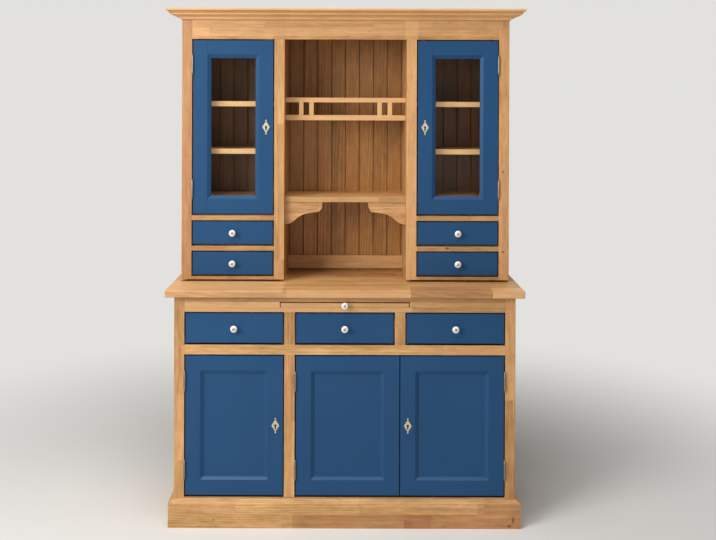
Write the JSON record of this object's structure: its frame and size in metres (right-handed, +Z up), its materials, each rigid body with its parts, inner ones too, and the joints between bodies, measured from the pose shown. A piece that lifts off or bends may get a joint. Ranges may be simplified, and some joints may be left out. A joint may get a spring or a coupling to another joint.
{
  "type": "buffet cabinet",
  "caption": "Oak buffet: a glazed hutch with open niche, shelves and brackets on a deeper base with painted panelled doors, drawers, pull-out bread board and bevelled plinth.",
  "frame": {"origin": "on the floor, in the middle of the worktop's width and depth", "axes": "+X right seen from the front, +Y to the wall, +Z up"},
  "size_m": [1.557, 0.52, 2.182],
  "materials": {
    "oak": "oiled, satin",
    "oak_back_boards": "oiled, satin",
    "blue_paint": "satin blue paint",
    "glass": "clear",
    "porcelain": "glazed",
    "hardware": "satin nickel"
  },
  "bodies": {
    "cabinet": {"base_back_boards": "oak_back_boards", "base_face_frame": "oak", "base_floor_and_partition": "oak", "base_shelves": "oak", "base_side_panels": "oak", "carcass_hinge_halves": "hardware", "cornice": "oak", "drawer_runners": "oak", "hutch_back_boards": "oak_back_boards", "hutch_case": "oak", "hutch_face_frame": "oak", "niche_brackets": "oak", "niche_rails": "oak", "niche_shelves": "oak", "plinth": "oak", "tower_shelves": "oak", "worktop": "oak"},
    "left_door": {"left_door_frame": "blue_paint", "left_door_panel": "blue_paint", "left_door_fittings": "hardware"},
    "middle_door": {"middle_door_frame": "blue_paint", "middle_door_panel": "blue_paint", "middle_door_fittings": "hardware"},
    "right_door": {"right_door_frame": "blue_paint", "right_door_panel": "blue_paint", "right_door_fittings": "hardware"},
    "left_glazed_door": {"left_glazed_door_frame": "blue_paint", "left_glazed_door_glass": "glass", "left_glazed_door_fittings": "hardware"},
    "right_glazed_door": {"right_glazed_door_frame": "blue_paint", "right_glazed_door_glass": "glass", "right_glazed_door_fittings": "hardware"},
    "bread_board": {"bread_board": "oak", "bread_board_knob": "porcelain"},
    "middle_door_slide_bolt": {"middle_door_slide_bolt": "hardware"},
    "left_door_lock_bolt": {"left_door_lock_bolt": "hardware"},
    "right_door_lock_bolt": {"right_door_lock_bolt": "hardware"},
    "left_glazed_door_lock_bolt": {"left_glazed_door_lock_bolt": "hardware"},
    "right_glazed_door_lock_bolt": {"right_glazed_door_lock_bolt": "hardware"},
    "left_drawer": {"left_drawer_front": "blue_paint", "left_drawer_box": "oak", "left_drawer_knob": "porcelain"},
    "middle_drawer": {"middle_drawer_front": "blue_paint", "middle_drawer_box": "oak", "middle_drawer_knob": "porcelain"},
    "right_drawer": {"right_drawer_front": "blue_paint", "right_drawer_box": "oak", "right_drawer_knob": "porcelain"},
    "left_upper_small_drawer": {"left_upper_small_drawer_front": "blue_paint", "left_upper_small_drawer_box": "oak", "left_upper_small_drawer_knob": "porcelain"},
    "left_lower_small_drawer": {"left_lower_small_drawer_front": "blue_paint", "left_lower_small_drawer_box": "oak", "left_lower_small_drawer_knob": "porcelain"},
    "right_upper_small_drawer": {"right_upper_small_drawer_front": "blue_paint", "right_upper_small_drawer_box": "oak", "right_upper_small_drawer_knob": "porcelain"},
    "right_lower_small_drawer": {"right_lower_small_drawer_front": "blue_paint", "right_lower_small_drawer_box": "oak", "right_lower_small_drawer_knob": "porcelain"}
  },
  "joints": [
    {"name": "left_door_hinge", "type": "hinge", "parent": "cabinet", "child": "left_door", "pos_m": [-0.6702, -0.23, 0.4], "axis": [0, 0, -1], "range_deg": [0, 110]},
    {"name": "middle_door_hinge", "type": "hinge", "parent": "cabinet", "child": "middle_door", "pos_m": [-0.20703, -0.23, 0.4], "axis": [0, 0, -1], "range_deg": [0, 110]},
    {"name": "right_door_hinge", "type": "hinge", "parent": "cabinet", "child": "right_door", "pos_m": [0.6702, -0.23, 0.4], "axis": [0, 0, 1], "range_deg": [0, 110]},
    {"name": "left_glazed_door_hinge", "type": "hinge", "parent": "cabinet", "child": "left_glazed_door", "pos_m": [-0.6692, -0.0595, 1.6], "axis": [0, 0, -1], "range_deg": [0, 110]},
    {"name": "right_glazed_door_hinge", "type": "hinge", "parent": "cabinet", "child": "right_glazed_door", "pos_m": [0.6692, -0.0595, 1.6], "axis": [0, 0, 1], "range_deg": [0, 110]},
    {"name": "left_drawer_slide", "type": "slide", "parent": "cabinet", "child": "left_drawer", "axis": [0, -1, 0], "range_m": [0, 0.3]},
    {"name": "middle_drawer_slide", "type": "slide", "parent": "cabinet", "child": "middle_drawer", "axis": [0, -1, 0], "range_m": [0, 0.3]},
    {"name": "right_drawer_slide", "type": "slide", "parent": "cabinet", "child": "right_drawer", "axis": [0, -1, 0], "range_m": [0, 0.3]},
    {"name": "left_upper_small_drawer_slide", "type": "slide", "parent": "cabinet", "child": "left_upper_small_drawer", "axis": [0, -1, 0], "range_m": [0, 0.2]},
    {"name": "left_lower_small_drawer_slide", "type": "slide", "parent": "cabinet", "child": "left_lower_small_drawer", "axis": [0, -1, 0], "range_m": [0, 0.2]},
    {"name": "right_upper_small_drawer_slide", "type": "slide", "parent": "cabinet", "child": "right_upper_small_drawer", "axis": [0, -1, 0], "range_m": [0, 0.2]},
    {"name": "right_lower_small_drawer_slide", "type": "slide", "parent": "cabinet", "child": "right_lower_small_drawer", "axis": [0, -1, 0], "range_m": [0, 0.2]},
    {"name": "bread_board_slide", "type": "slide", "parent": "cabinet", "child": "bread_board", "axis": [0, -1, 0], "range_m": [0, 0.28]},
    {"name": "left_door_lock", "type": "slide", "parent": "left_door", "child": "left_door_lock_bolt", "axis": [1, 0, 0], "range_m": [0, 0.009]},
    {"name": "right_door_lock", "type": "slide", "parent": "right_door", "child": "right_door_lock_bolt", "axis": [-1, 0, 0], "range_m": [0, 0.009]},
    {"name": "left_glazed_door_lock", "type": "slide", "parent": "left_glazed_door", "child": "left_glazed_door_lock_bolt", "axis": [1, 0, 0], "range_m": [0, 0.009]},
    {"name": "right_glazed_door_lock", "type": "slide", "parent": "right_glazed_door", "child": "right_glazed_door_lock_bolt", "axis": [-1, 0, 0], "range_m": [0, 0.009]},
    {"name": "middle_door_bolt", "type": "slide", "parent": "middle_door", "child": "middle_door_slide_bolt", "axis": [0, 0, 1], "range_m": [0, 0.015]}
  ]
}
